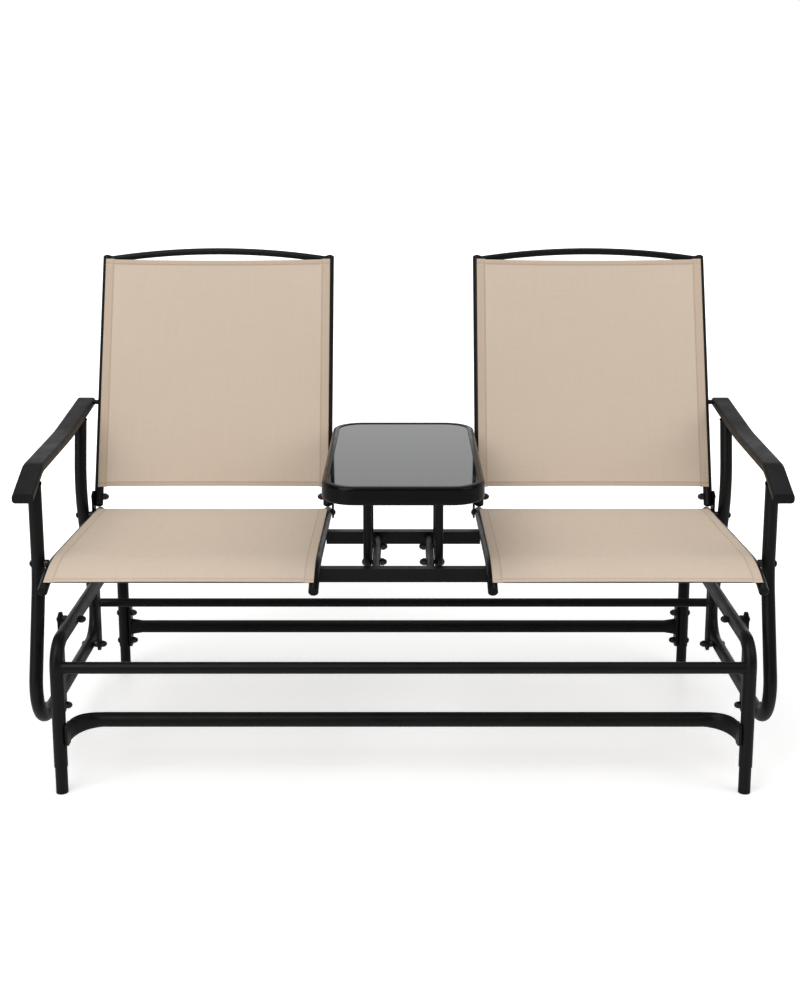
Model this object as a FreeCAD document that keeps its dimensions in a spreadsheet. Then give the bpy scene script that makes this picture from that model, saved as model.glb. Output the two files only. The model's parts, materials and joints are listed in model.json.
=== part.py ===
"""Two-seat patio glider with a centre table.

A seat unit of two slung seats, armrests and a small glass table hangs on four flat links in a tube base.
Millimetres. +X points to the right of somebody who faces the seat, +Y to its back and +Z up.
The origin is on the floor, under the middle of the whole piece.
"""
import math
import os
import re

import FreeCAD
import Part
import Sketcher
from FreeCAD import Placement, Rotation, Vector

SIZES = {
    # Tubes and fits
    "tube_diameter": 25.4,
    "tube_wall": 1.2,
    "rail_diameter": 19,
    "weld_gap": 0.05,
    "bolt_diameter": 8,
    "bolt_hole": 8.2,
    "head_diameter": 14,
    "head_height": 4,
    "thread_length": 8,
    "nut_corners": 15,
    "nut_height": 6.5,
    "nut_dome": 6,
    # Base
    "base_x": 640,
    "front_leg_y": -332,
    "rear_leg_y": 288,
    "base_rail_height": 289,
    "base_bend": 45,
    "foot_height": 52,
    "foot_insert": 8,
    "foot_play": 0.1,
    "crossbar_diameter": 22,
    "crossbar_height": 246,
    "crossbar_setback": 1.5,
    "stretcher_diameter": 28,
    "stretcher_plate": 5,
    "front_stretcher_setback": 66,
    "front_stretcher_height": 116,
    "front_turn_inset": 70,
    "front_half_turn_inset": 31,
    "front_half_turn_lead": 16,
    "front_half_turn_height": 36,
    "front_half_turn_thickness": 13,
    "front_tab_height": 42,
    "front_tab_front": 12,
    "front_tab_back": 12,
    "press_inset": 0.2,
    "tab_corner": 8,
    "rear_stretcher_height": 98,
    "rear_plate_width": 26,
    "rear_plate_height": 92,
    "rear_bolt_spread": 66,
    "rear_flare_length": 26,
    "rear_flare_height": 37,
    "rear_flare_width": 26,
    # Hanger links
    "link_x": 665,
    "link_thickness": 5,
    "link_width": 28,
    "front_link_y": -189,
    "rear_link_y": 141,
    "bush_diameter": 14,
    "bush_flange": 22,
    "bush_flange_thickness": 0.8,
    "bush_play": 0.05,
    "pivot_play": 0.06,
    "axial_play": 0.2,
    "spacer_diameter": 15,
    "corner_flat": 0.5,
    # Arm loops and armrests
    "loop_x": 688,
    "loop_height": 112,
    "front_post_y": -242,
    "front_knee_height": 395,
    "front_splay": 84,
    "rear_post_y": 155,
    "rear_knee_height": 465,
    "rear_bolt_inset": 38,
    "loop_rear_y": 227,
    "loop_front_bend": 80,
    "loop_rear_bend": 55,
    "knee_bend": 250,
    "arm_x": 697,
    "arm_width": 40,
    "arm_thickness": 18,
    "arm_wall": 2,
    "arm_edge": 6,
    "arm_bend": 60,
    "arm_tip_reach": 51,
    "arm_tip_height": 567,
    "arm_knee_setback": 31,
    "arm_knee_height": 604,
    "arm_waist_inset": 125,
    "arm_waist_height": 614,
    "arm_waist_bend": 700,
    "arm_rear_reach": 98,
    "arm_rear_height": 640,
    "arm_peg_diameter": 10,
    "arm_peg_drop": 8,
    "loop_bar_height": 184,
    # Seats
    "rail_inner_x": 164,
    "rail_rear_y": 178,
    "rail_rear_height": 403,
    "rail_front_y": -332,
    "rail_front_height": 393,
    "rail_nose_length": 70,
    "rail_nose_drop": 28,
    "rail_bend": 220,
    "spreader_diameter": 16,
    "front_spreader_inset": 35,
    "rear_spreader_inset": 68,
    "plug_play": 0.6,
    "plug_depth": 7,
    "plug_dome": 4,
    "sling_thickness": 2,
    "sling_gap": 0.3,
    "sling_edge": 7,
    "sling_rear_inset": 26,
    "sling_front_inset": 18,
    # Backs
    "recline": 20.6,
    "back_foot_inset": 16.3,
    "back_foot_rise": 18,
    "back_length": 554,
    "back_bolt_rise": 18,
    "back_sling_bottom": 38,
    "back_sling_top": 546,
    "top_rail_diameter": 15,
    "top_rail_drop": 8,
    "top_rail_rise": 20,
    "plate_thickness": 4,
    "plate_width": 26,
    "plate_bolt_inset": 13,
    # Centre table
    "bar_depth": 20,
    "bar_height": 26,
    "bar_wall": 1.5,
    "front_bar_y": -252,
    "front_bar_rise": 2,
    "rear_bar_y": -2,
    "rear_bar_rise": 0,
    "bar_overlap": 3,
    "table_tube_diameter": 16,
    "table_tube_x": 52,
    "table_tube_drop": 4,
    "table_leg_diameter": 16,
    "table_leg_gap": 0.3,
    "table_leg_bend": 26,
    "front_table_leg_inset": 48,
    "rear_table_leg_inset": 35,
    "table_bolt_inset": 33,
    "table_y": -90.3,
    "table_width": 297,
    "table_depth": 556,
    "table_corner": 62,
    "table_height": 599,
    "rim_height": 34,
    "rim_width": 13,
    "rim_edge": 6,
    "ledge_width": 8,
    "ledge_thickness": 2.5,
    "glass_thickness": 5,
    "glass_recess": 1.5,
    "glass_play": 0.6,
    "pad_thickness": 1,
    "pad_diameter": 7,
    "strap_width": 25,
    "strap_thickness": 3,
}

SIDES = (("left", -1), ("right", 1))
UP = Vector(0, 0, 1)
BACK = Vector(0, 1, 0)
ORIGIN = (-1, 1)
START, END, CENTRE = range(1, 4)
SAME_PLACE = 0.01
HALF_TURN = 45

doc = FreeCAD.newDocument("glider")
sheet = doc.addObject("Spreadsheet::Sheet", "Sizes")
for row, (size_name, size_value) in enumerate(SIZES.items(), start=1):
    sheet.set(f"A{row}", size_name)
    sheet.set(f"B{row}", str(size_value))
    sheet.setAlias(f"B{row}", size_name)
doc.recompute()

nodes = []


# Expressions

def bound(expression):
    """The expression with each size name turned into a reference to the sheet."""
    def refer(word):
        return f"Sizes.{word[0]}" if word[0] in SIZES else word[0]

    return re.sub(r"[a-z]\w*", refer, str(expression))


def number(expression):
    """The expression's value, from the sheet."""
    return float(sheet.evalExpression(str(expression)))


def bind(item, **properties):
    """Bind properties of a document object; a double underscore stands for the dot of a nested property."""
    for name, expression in properties.items():
        item.setExpression(name.replace("__", "."), bound(expression))
    return item


def at(item, x="0", y="0", z="0"):
    """Bind an object's position."""
    return bind(item, Placement__Base__x=x, Placement__Base__y=y, Placement__Base__z=z)


# Bodies and sketches

def new_body(label, exported=True):
    body = doc.addObject("PartDesign::Body", label)
    body.Label = label
    if exported:
        nodes.append(body)
    return body


def new_sketch(body, role, offset="0"):
    """A sketch on one of the body's origin planes, moved along that plane's normal."""
    sketch = body.newObject("Sketcher::SketchObject", f"{body.Label}_sketch")
    support = next(item for item in body.Origin.OriginFeatures if item.Role == role)
    sketch.AttachmentSupport = [(support, "")]
    sketch.MapMode = "FlatFace"
    return bind(sketch, AttachmentOffset__Base__z=offset)


def turned_sketch(body, x, y, z, angle):
    """A sketch on an upright plane through a point; at angle 0 the plane faces +X."""
    sketch = new_sketch(body, "YZ_Plane", x)
    sketch.AttachmentOffset = Placement(Vector(), Rotation(BACK, angle))
    return bind(sketch, AttachmentOffset__Base__x=y, AttachmentOffset__Base__y=z, AttachmentOffset__Base__z=x)


def constrain(sketch, kind, *where, size):
    index = sketch.addConstraint(Sketcher.Constraint(kind, *where, number(size)))
    sketch.setExpression(f"Constraints[{index}]", bound(size))


def locate(sketch, geometry, end, x, y):
    """Hold one point of a sketch at x, y from the sketch's origin."""
    constrain(sketch, "DistanceX", *ORIGIN, geometry, end, size=x)
    constrain(sketch, "DistanceY", *ORIGIN, geometry, end, size=y)


def add_circle(sketch, x, y, diameter):
    centre = Vector(number(x), number(y), 0)
    circle = sketch.addGeometry(Part.Circle(centre, UP, number(diameter) / 2))
    locate(sketch, circle, CENTRE, x, y)
    constrain(sketch, "Diameter", circle, size=diameter)


def add_ellipse(sketch, x, y, half_width, half_height):
    """An upright ellipse."""
    centre = Vector(number(x), number(y), 0)
    top = centre + Vector(0, number(half_height), 0)
    side = centre + Vector(number(half_width), 0, 0)
    ellipse = sketch.addGeometry(Part.Ellipse(top, side, centre))
    sketch.exposeInternalGeometry(ellipse)
    long_axis, short_axis = ellipse + 1, ellipse + 2
    locate(sketch, ellipse, CENTRE, x, y)
    sketch.addConstraint(Sketcher.Constraint("Vertical", long_axis))
    constrain(sketch, "Distance", long_axis, size=f"2 * ({half_height})")
    constrain(sketch, "Distance", short_axis, size=f"2 * ({half_width})")


def fillet_ends(before, corner, after, radius):
    """Where an arc of this radius leaves one run and meets the next, and the arc's middle."""
    back, ahead = (before - corner).normalize(), (after - corner).normalize()
    half_angle = back.getAngle(ahead) / 2
    reach = radius / math.tan(half_angle)
    centre = corner + (back + ahead).normalize() * (radius / math.sin(half_angle))
    middle = centre + (corner - centre).normalize() * radius
    return corner + back * reach, middle, corner + ahead * reach


def add_path(sketch, points, closed=False):
    """Straight runs through the points (x, y, radius); a radius rounds its corner with a tangent arc."""
    count = len(points)
    corners = [Vector(number(x), number(y), 0) for x, y, _ in points]
    starts, ends, arcs = list(corners), list(corners), {}
    for index, (_, _, radius) in enumerate(points):
        if radius:
            before, after = corners[index - 1], corners[(index + 1) % count]
            ends[index], middle, starts[index] = fillet_ends(before, corners[index], after, number(radius))
            arcs[index] = Part.Arc(ends[index], middle, starts[index])
    last = count if closed else count - 1
    runs = [sketch.addGeometry(Part.LineSegment(starts[i], ends[(i + 1) % count])) for i in range(last)]
    for index, (x, y, radius) in enumerate(points):
        run_in = runs[index - 1] if closed or index > 0 else None
        run_out = runs[index] if closed or index < last else None
        if not radius:
            locate(sketch, *((run_out, START) if run_out is not None else (run_in, END)), x, y)
            if run_in is not None and run_out is not None:
                sketch.addConstraint(Sketcher.Constraint("Coincident", run_in, END, run_out, START))
            continue
        arc = sketch.addGeometry(arcs[index])
        first, second = arc_ends(sketch, arc, ends[index])
        sketch.addConstraint(Sketcher.Constraint("Tangent", run_in, END, arc, first))
        sketch.addConstraint(Sketcher.Constraint("Tangent", arc, second, run_out, START))
        constrain(sketch, "Radius", arc, size=radius)
        corner = sketch.addGeometry(Part.Point(corners[index]), True)
        locate(sketch, corner, START, x, y)
        sketch.addConstraint(Sketcher.Constraint("PointOnObject", corner, START, run_in))
        sketch.addConstraint(Sketcher.Constraint("PointOnObject", corner, START, run_out))


def arc_ends(sketch, arc, entry):
    """Which end of a sketch arc lies at the entry point, and which is the other."""
    to_start, to_end = (sketch.getPoint(arc, end).distanceToPoint(entry) for end in (START, END))
    return (START, END) if to_start < to_end else (END, START)


def add_rectangle(sketch, x0, y0, x1, y1):
    add_path(sketch, [(x0, y0, None), (x1, y0, None), (x1, y1, None), (x0, y1, None)], closed=True)


# Features

def feature(body, kind, sketch, **properties):
    item = body.newObject(f"PartDesign::{kind}", f"{body.Label}_{kind.lower()}")
    item.Profile = (sketch, [""])
    for name, value in properties.items():
        setattr(item, name, value)
    return item


def pad(body, sketch, length, symmetric=True, reverse=False):
    item = feature(body, "Pad", sketch, SideType="Symmetric" if symmetric else "One side", Reversed=reverse)
    return bind(item, Length=length)


def pocket(body, sketch, length=None, reverse=False):
    """A cut of this length along the sketch's normal, or right through both ways."""
    if length is None:
        return feature(body, "Pocket", sketch, Type="ThroughAll", SideType="Symmetric")
    return bind(feature(body, "Pocket", sketch, Reversed=reverse), Length=length)


def drill(body, role, points, diameter="bolt_hole"):
    """Holes right through the body, square to one of its origin planes."""
    sketch = new_sketch(body, role)
    for x, y in points:
        add_circle(sketch, x, y, diameter)
    pocket(body, sketch)


def sweep(body, points, diameters, x="0", upright=True, cut=False):
    """A round bar or tube along a path in the plane at x; an upright path starts along Z, not Y."""
    spine = new_sketch(body, "YZ_Plane", x)
    add_path(spine, points)
    start_y, start_z, _ = points[0]
    upright_section, level_section = ("XY_Plane", start_z, start_y), ("XZ_Plane", f"-({start_y})", start_z)
    role, offset, across = upright_section if upright else level_section
    section = new_sketch(body, role, offset)
    for diameter in diameters:
        add_circle(section, x, across, diameter)
    pipe = feature(body, "SubtractivePipe" if cut else "AdditivePipe", section)
    pipe.Spine = (spine, [""])
    return pipe


def cope(body, points, diameter, x, upright=True):
    """Shape the body's ends to a tube that runs along this path on both sides."""
    for place in (f"-({x})", x):
        sweep(body, points, [f"{diameter} + 2 * weld_gap"], place, upright, cut=True)


def round_edges(body, radius, chosen):
    """Round the edges of the body's tip that the test picks."""
    doc.recompute()
    tip = body.Tip
    names = [f"Edge{i}" for i, edge in enumerate(tip.Shape.Edges, start=1) if chosen(edge)]
    item = body.newObject("PartDesign::Fillet", f"{body.Label}_fillet")
    item.Base = (tip, names)
    bind(item, Radius=radius)


def tube(label, points, diameter, wall="tube_wall", upright=True):
    body = new_body(label)
    sweep(body, points, [diameter, f"{diameter} - 2 * {wall}"], upright=upright)
    return body


def cross_tube(label, diameter, y, z, length, wall="tube_wall"):
    """A straight tube along X, before its ends are shaped."""
    body = new_body(label)
    section = new_sketch(body, "YZ_Plane")
    add_circle(section, y, z, diameter)
    add_circle(section, y, z, f"{diameter} - 2 * {wall}")
    pad(body, section, length)
    return body


# Fasteners and small turned pieces, each along +Z from its seat

def solid(kind, **properties):
    return bind(doc.addObject(f"Part::{kind}", kind.lower()), **properties)


def fuse(*parts):
    item = doc.addObject("Part::MultiFuse", "joined")
    item.Shapes = list(parts)
    return item


def cut(base, tool):
    item = doc.addObject("Part::Cut", "cut")
    item.Base, item.Tool = base, tool
    return item


def dome(diameter, height, z="0"):
    """A spherical cap that stands on z."""
    ball = f"(({diameter})^2 / 4 + ({height})^2) / (2 * ({height}))"
    cap = solid("Sphere", Radius=ball, Angle1=f"asin(({ball} - ({height})) / ({ball}))")
    return at(cap, z=f"{z} + {height} - {ball}")


def bolt(length):
    """A domed head above the seat and a plain shank below it."""
    shank = solid("Cylinder", Radius="bolt_diameter / 2", Height=length)
    return fuse(at(shank, z=f"-({length})"), dome("head_diameter", "head_height"))


def cap_nut():
    hexagon = solid("Prism", Circumradius="nut_corners / 2", Height="nut_height")
    crown = dome("2 * nut_dome", "nut_dome", "nut_height")
    thread = solid("Cylinder", Radius="bolt_hole / 2", Height="thread_length + pivot_play")
    return cut(fuse(hexagon, crown), thread)


def sleeve(diameter, bore, length):
    return cut(solid("Cylinder", Radius=f"({diameter}) / 2", Height=length),
               solid("Cylinder", Radius=f"({bore}) / 2", Height=length))


def link_bush():
    """A flanged bush, centred on its link."""
    length = "link_thickness + 2 * bush_flange_thickness"
    half = "link_thickness / 2"
    barrel = at(solid("Cylinder", Radius="bush_diameter / 2", Height=length), z=f"-({length}) / 2")
    upper = at(solid("Cylinder", Radius="bush_flange / 2", Height="bush_flange_thickness"), z=half)
    lower = at(solid("Cylinder", Radius="bush_flange / 2", Height="bush_flange_thickness"),
               z=f"-{half} - bush_flange_thickness")
    bore = solid("Cylinder", Radius="bolt_diameter / 2 + pivot_play", Height=length)
    at(bore, z=f"-({length}) / 2")
    return cut(fuse(barrel, upper, lower), bore)


def tube_plug():
    """A spigot below the seat and a low dome above it."""
    spigot = solid("Cylinder", Radius="rail_diameter / 2 - tube_wall - plug_play", Height="plug_depth")
    return fuse(at(spigot, z="-plug_depth"), dome("rail_diameter", "plug_dome"))


def group(label, placed):
    """One node of separate solids: copies of small pieces, each at a point and turned to a direction."""
    doc.recompute()
    copies = []
    for piece, point, direction in placed:
        copy = piece.Shape.copy()
        copy.Placement = Placement(point, Rotation(UP, direction)) * piece.Placement
        copies.append(copy)
    item = doc.addObject("Part::Feature", label)
    item.Label = label
    item.Shape = Part.makeCompound(copies)
    nodes.append(item)


def point(x, y, z):
    return Vector(number(x), number(y), number(z))


# Shared paths, places and faces

ARM_TIP_Y = "(front_post_y - arm_tip_reach)"
ARM_KNEE_Y = "(front_post_y + arm_knee_setback)"
ARM_WAIST_Y = "(rear_post_y - arm_waist_inset)"
ARM_REAR_Y = "(rear_post_y + arm_rear_reach)"
ARM_FRONT_SLOPE = f"(arm_knee_height - arm_tip_height) / ({ARM_KNEE_Y} - {ARM_TIP_Y})"
ARM_REAR_SLOPE = f"(arm_rear_height - arm_waist_height) / ({ARM_REAR_Y} - {ARM_WAIST_Y})"
FRONT_POST_TOP = f"(arm_tip_height + (front_post_y - {ARM_TIP_Y}) * {ARM_FRONT_SLOPE} - arm_thickness / 2)"
REAR_POST_TOP = f"(arm_waist_height + (rear_post_y - {ARM_WAIST_Y}) * {ARM_REAR_SLOPE} - arm_thickness / 2)"
BASE_PATH = [
    ("front_leg_y", "foot_height", None),
    ("front_leg_y", "base_rail_height", "base_bend"),
    ("rear_leg_y", "base_rail_height", "base_bend"),
    ("rear_leg_y", "foot_height", None),
]
RAIL_KNEE_Y = "(rail_front_y + rail_nose_length)"
RAIL_KNEE_Z = "(rail_front_height + rail_nose_drop)"
RAIL_PATH = [
    ("rail_rear_y", "rail_rear_height", None),
    (RAIL_KNEE_Y, RAIL_KNEE_Z, "rail_bend"),
    ("rail_front_y", "rail_front_height", None),
]
RAIL_SLOPE = f"({RAIL_KNEE_Z} - rail_rear_height) / (rail_rear_y - {RAIL_KNEE_Y})"
RAIL_TILT = f"atan({RAIL_SLOPE})"
NOSE_SLOPE = "rail_nose_drop / rail_nose_length"


def on_rail(y):
    """Height of a seat rail's middle line behind its bend."""
    return f"(rail_rear_height + (rail_rear_y - ({y})) * {RAIL_SLOPE})"


def on_bend(y):
    """Height of a seat rail's middle line on its bend."""
    reach = f"rail_bend * tan(({RAIL_TILT} + atan({NOSE_SLOPE})) / 2)"
    centre_y = f"({RAIL_KNEE_Y} + {reach} * cos({RAIL_TILT}) - rail_bend * sin({RAIL_TILT}))"
    centre_z = f"({RAIL_KNEE_Z} - {reach} * sin({RAIL_TILT}) - rail_bend * cos({RAIL_TILT}))"
    return f"({centre_z} + sqrt(rail_bend^2 - ({y} - {centre_y})^2))"


REAR_BOLT_Y = "(rail_rear_y - rear_bolt_inset)"
REAR_LEAN = f"((loop_rear_y - {REAR_BOLT_Y}) / ({on_rail(REAR_BOLT_Y)} - loop_height))"


def on_rear_post(z):
    """Y of a loop's rear post at this height, below its knee."""
    return f"(loop_rear_y - ({z} - loop_height) * {REAR_LEAN})"


LOOP_PATH = [
    ("front_post_y", FRONT_POST_TOP, None),
    ("front_post_y", "front_knee_height", "knee_bend"),
    ("front_post_y - front_splay", "loop_height", "loop_front_bend"),
    ("loop_rear_y", "loop_height", "loop_rear_bend"),
    (on_rear_post("rear_knee_height"), "rear_knee_height", "knee_bend"),
    ("rear_post_y", REAR_POST_TOP, None),
]
BASE_INNER = "(base_x - tube_diameter / 2)"
BASE_OUTER = "(base_x + tube_diameter / 2)"
STRETCHER_END = f"({BASE_INNER} - stretcher_plate)"
LINK_REACH = "(link_thickness / 2 + bush_flange_thickness + axial_play)"
LINK_INNER = f"(link_x - {LINK_REACH})"
LINK_OUTER = f"(link_x + {LINK_REACH})"
LOOP_INNER = "(loop_x - tube_diameter / 2)"
LOOP_OUTER = "(loop_x + tube_diameter / 2)"
RAIL_OUTER_X = f"({LINK_OUTER} - rail_diameter / 2)"
SEAT_X = f"(({RAIL_OUTER_X} + rail_inner_x) / 2)"
SEAT_HALF = f"(({RAIL_OUTER_X} - rail_inner_x) / 2)"
SLING_WIDTH = f"(2 * {SEAT_HALF} + rail_diameter - 2 * sling_edge)"
SLING_FACE = "(rail_diameter / 2 + sling_gap)"
RAILS = (("outer", RAIL_OUTER_X, 1), ("inner", "rail_inner_x", -1))
LINKS = (("front", "front_link_y"), ("rear", "rear_link_y"))
UPPER_PIVOTS = [(y, "base_rail_height") for _, y in LINKS]
LOWER_PIVOTS = [(y, "loop_height") for _, y in LINKS]
REAR_BOLTS = [("rear_leg_y", f"rear_stretcher_height {way} rear_bolt_spread / 2") for way in "-+"]
SIDE_BOLTS = [("front_post_y", on_bend("front_post_y")), (REAR_BOLT_Y, on_rail(REAR_BOLT_Y))]
SLING_REAR_Y = "(rail_rear_y - sling_rear_inset)"
BACK_FOOT_Y = "(rail_rear_y - back_foot_inset)"
BACK_FOOT_Z = "(rail_rear_height + back_foot_rise)"
PLATE_BOLT_Y = "(rail_rear_y - plate_bolt_inset)"
PLATE_BOLTS = [
    (PLATE_BOLT_Y, on_rail(PLATE_BOLT_Y)),
    (f"{BACK_FOOT_Y} + back_bolt_rise * sin(recline)", f"{BACK_FOOT_Z} + back_bolt_rise * cos(recline)"),
]
TABLE_LEG_X = "(table_tube_x + (table_tube_diameter + table_leg_diameter) / 2 + table_leg_gap)"
TABLE_TUBE_Z = "(rail_rear_height - table_tube_drop)"
TABLE_LEG_YS = ("(front_bar_y + front_table_leg_inset)", "(rear_bar_y - rear_table_leg_inset)")
TABLE_BOLTS = [(f"{y} {way} table_bolt_inset", TABLE_TUBE_Z) for y, way in zip(TABLE_LEG_YS, "+-")]
GLASS_BOTTOM = "(table_height - glass_recess - glass_thickness)"
LEDGE_TOP = f"({GLASS_BOTTOM} - pad_thickness)"
STRAP_BOTTOM = f"({LEDGE_TOP} - ledge_thickness - strap_thickness)"


def arm_outline(inset, raised="0"):
    """An armrest's side outline, moved in by the inset, with its upper side raised."""
    drop = f"(arm_thickness - 2 * ({inset}))"
    top = [
        (f"{ARM_TIP_Y} + {inset}", f"arm_tip_height + {inset} * {ARM_FRONT_SLOPE} - {inset}"),
        (ARM_KNEE_Y, f"arm_knee_height - {inset}"),
        (ARM_WAIST_Y, f"arm_waist_height - {inset}"),
        (f"{ARM_REAR_Y} - {inset}", f"arm_rear_height - {inset} * {ARM_REAR_SLOPE} - {inset}"),
    ]
    bends = (None, "arm_bend", "arm_waist_bend", None)
    upper = [(y, f"{z} + {raised}", bend) for (y, z), bend in zip(top, bends)]
    lower = [(y, f"{z} - {drop}", bend) for (y, z), bend in zip(top, bends)]
    return upper + lower[::-1]


def long_arm_edge(edge):
    """Whether an edge runs along an armrest, not across it or down its ends."""
    return edge.BoundBox.XLength < SAME_PLACE < edge.BoundBox.YLength


def outward(sign):
    return Vector(sign, 0, 0)


def side_points(x, places, sign):
    """The places (y, z) on one side, at this distance from the middle."""
    return [point(f"{sign} * {x}", y, z) for y, z in places]


# Base

for side, sign in SIDES:
    base_side = tube(f"base_side_{side}", BASE_PATH, "tube_diameter")
    drill(base_side, "YZ_Plane", UPPER_PIVOTS + REAR_BOLTS)
    at(base_side, x=f"{sign} * base_x")

front_crossbar = cross_tube("front_crossbar", "crossbar_diameter", "front_leg_y + crossbar_setback",
                            "crossbar_height", "2 * base_x")
cope(front_crossbar, BASE_PATH, "tube_diameter", "base_x")


def press(body, sections):
    """A pressed length of tube through its sections, each a sketch with its ellipse's width and height."""
    for sketch, x, y, width, height in sections:
        add_ellipse(sketch, x, y, f"{width} / 2 - 2 * press_inset", f"{height} / 2 - press_inset")
    first, *others = [sketch for sketch, *_ in sections]
    feature(body, "AdditiveLoft", first).Sections = [(sketch, [""]) for sketch in others]


def front_stretcher():
    """A tube whose ends are pressed flat, turn forward and lie on the inner sides of the front legs."""
    run_y = "(front_leg_y + front_stretcher_setback)"
    turn_x = "(base_x - front_turn_inset)"
    half_turn_x = "(base_x - front_half_turn_inset)"
    half_turn_y = f"({run_y} - front_half_turn_lead)"
    tab_front, tab_back = "(front_leg_y - front_tab_front)", "(front_leg_y + front_tab_back)"
    height = "front_stretcher_height"
    body = cross_tube("front_stretcher", "stretcher_diameter", run_y, height, f"2 * {turn_x}")
    for _, sign in SIDES:
        flat_x = f"{sign} * ({BASE_INNER} - stretcher_plate / 2)"
        press(body, [
            (new_sketch(body, "YZ_Plane", f"{sign} * {turn_x}"), run_y, height,
             "stretcher_diameter", "stretcher_diameter"),
            (turned_sketch(body, f"{sign} * {half_turn_x}", half_turn_y, height, -sign * HALF_TURN), "0", "0",
             "front_half_turn_thickness", "front_half_turn_height"),
            (new_sketch(body, "XZ_Plane", f"-{tab_back}"), flat_x, height,
             "stretcher_plate", "front_tab_height"),
        ])
        tab = new_sketch(body, "YZ_Plane", flat_x)
        low, high = (f"{height} {way} front_tab_height / 2" for way in "-+")
        add_path(tab, [(tab_front, low, "tab_corner"), (tab_back, low, None), (tab_back, high, None),
                       (tab_front, high, "tab_corner")], closed=True)
        pad(body, tab, "stretcher_plate")


front_stretcher()

REAR_FLARE_X = f"({STRETCHER_END} - rear_flare_length)"
rear_stretcher = cross_tube("rear_stretcher", "stretcher_diameter", "rear_leg_y", "rear_stretcher_height",
                            f"2 * {REAR_FLARE_X}")
for _, sign in SIDES:
    plate = new_sketch(rear_stretcher, "YZ_Plane", f"{sign} * ({BASE_INNER} - stretcher_plate / 2)")
    add_path(plate, [(f"rear_leg_y {y_way} rear_plate_width / 2",
                      f"rear_stretcher_height {z_way} rear_plate_height / 2", "tab_corner")
                     for y_way, z_way in ("--", "+-", "++", "-+")], closed=True)
    pad(rear_stretcher, plate, "stretcher_plate")
    press(rear_stretcher, [
        (new_sketch(rear_stretcher, "YZ_Plane", f"{sign} * {REAR_FLARE_X}"),
         "rear_leg_y", "rear_stretcher_height", "stretcher_diameter", "stretcher_diameter"),
        (new_sketch(rear_stretcher, "YZ_Plane", f"{sign} * {STRETCHER_END}"),
         "rear_leg_y", "rear_stretcher_height", "rear_flare_width", "rear_flare_height"),
    ])
drill(rear_stretcher, "YZ_Plane", REAR_BOLTS)

foot = solid("Cylinder", Radius="tube_diameter / 2 - tube_wall - foot_play",
             Height="foot_height + foot_insert")
group("leg_feet", [(foot, point(f"{sign} * base_x", y, "0"), UP)
                   for _, sign in SIDES for y in ("front_leg_y", "rear_leg_y")])

nut = cap_nut()
stretcher_bolt = bolt(f"{BASE_OUTER} - {STRETCHER_END} + thread_length")
group("stretcher_bolts", [(stretcher_bolt, place, outward(sign)) for _, sign in SIDES
                          for place in side_points(BASE_OUTER, REAR_BOLTS, sign)])

hanger_bolt = bolt(f"{LINK_OUTER} - {BASE_INNER} + thread_length")
group("hanger_bolts", [(hanger_bolt, place, outward(sign)) for _, sign in SIDES
                       for place in side_points(LINK_OUTER, UPPER_PIVOTS, sign)])
hanger_spacer = sleeve("spacer_diameter", "bolt_hole", f"{LINK_INNER} - {BASE_OUTER}")
group("hanger_spacers", [(hanger_spacer, place, outward(sign)) for _, sign in SIDES
                         for place in side_points(BASE_OUTER, UPPER_PIVOTS, sign)])
group("base_cap_nuts", [(nut, place, outward(-sign)) for _, sign in SIDES
                        for place in side_points(STRETCHER_END, REAR_BOLTS, sign)
                        + side_points(BASE_INNER, UPPER_PIVOTS, sign)])

# Hanger links

bush = link_bush()
for place, link_y in LINKS:
    for side, sign in SIDES:
        link = new_body(f"link_{place}_{side}")
        outline = new_sketch(link, "YZ_Plane")
        edges = [(f"{link_y} - link_width / 2", "loop_height - link_width / 2"),
                 (f"{link_y} + link_width / 2", "loop_height - link_width / 2"),
                 (f"{link_y} + link_width / 2", "base_rail_height + link_width / 2"),
                 (f"{link_y} - link_width / 2", "base_rail_height + link_width / 2")]
        add_path(outline, [(y, z, "link_width / 2 - corner_flat") for y, z in edges], closed=True)
        pad(link, outline, "link_thickness")
        eyes = [(link_y, "base_rail_height"), (link_y, "loop_height")]
        drill(link, "YZ_Plane", eyes, "bush_diameter + 2 * bush_play")
        at(link, x=f"{sign} * link_x")
        group(f"bushes_{place}_{side}", [(bush, p, outward(1)) for p in side_points("link_x", eyes, sign)])

# Arm loops and armrests

for side, sign in SIDES:
    loop = tube(f"arm_loop_{side}", LOOP_PATH, "tube_diameter")
    drill(loop, "YZ_Plane", LOWER_PIVOTS + SIDE_BOLTS)
    above_underside = new_sketch(loop, "YZ_Plane")
    add_path(above_underside, arm_outline("0", "tube_diameter"), closed=True)
    pocket(loop, above_underside)
    at(loop, x=f"{sign} * loop_x")

    armrest = new_body(f"armrest_{side}")
    outline = new_sketch(armrest, "YZ_Plane")
    add_path(outline, arm_outline("0"), closed=True)
    pad(armrest, outline, "arm_width")
    round_edges(armrest, "arm_edge", long_arm_edge)
    hollow = new_sketch(armrest, "YZ_Plane")
    add_path(hollow, arm_outline("arm_wall"), closed=True)
    hollow_cut = feature(armrest, "Pocket", hollow, SideType="Symmetric")
    bind(hollow_cut, Length="arm_width - 2 * arm_edge")
    at(armrest, x=f"{sign} * arm_x")

rear_crossbar = cross_tube("rear_crossbar", "rail_diameter", on_rear_post("loop_bar_height"),
                           "loop_bar_height", "2 * loop_x")
cope(rear_crossbar, LOOP_PATH, "tube_diameter", "loop_x")

# Seats

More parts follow.
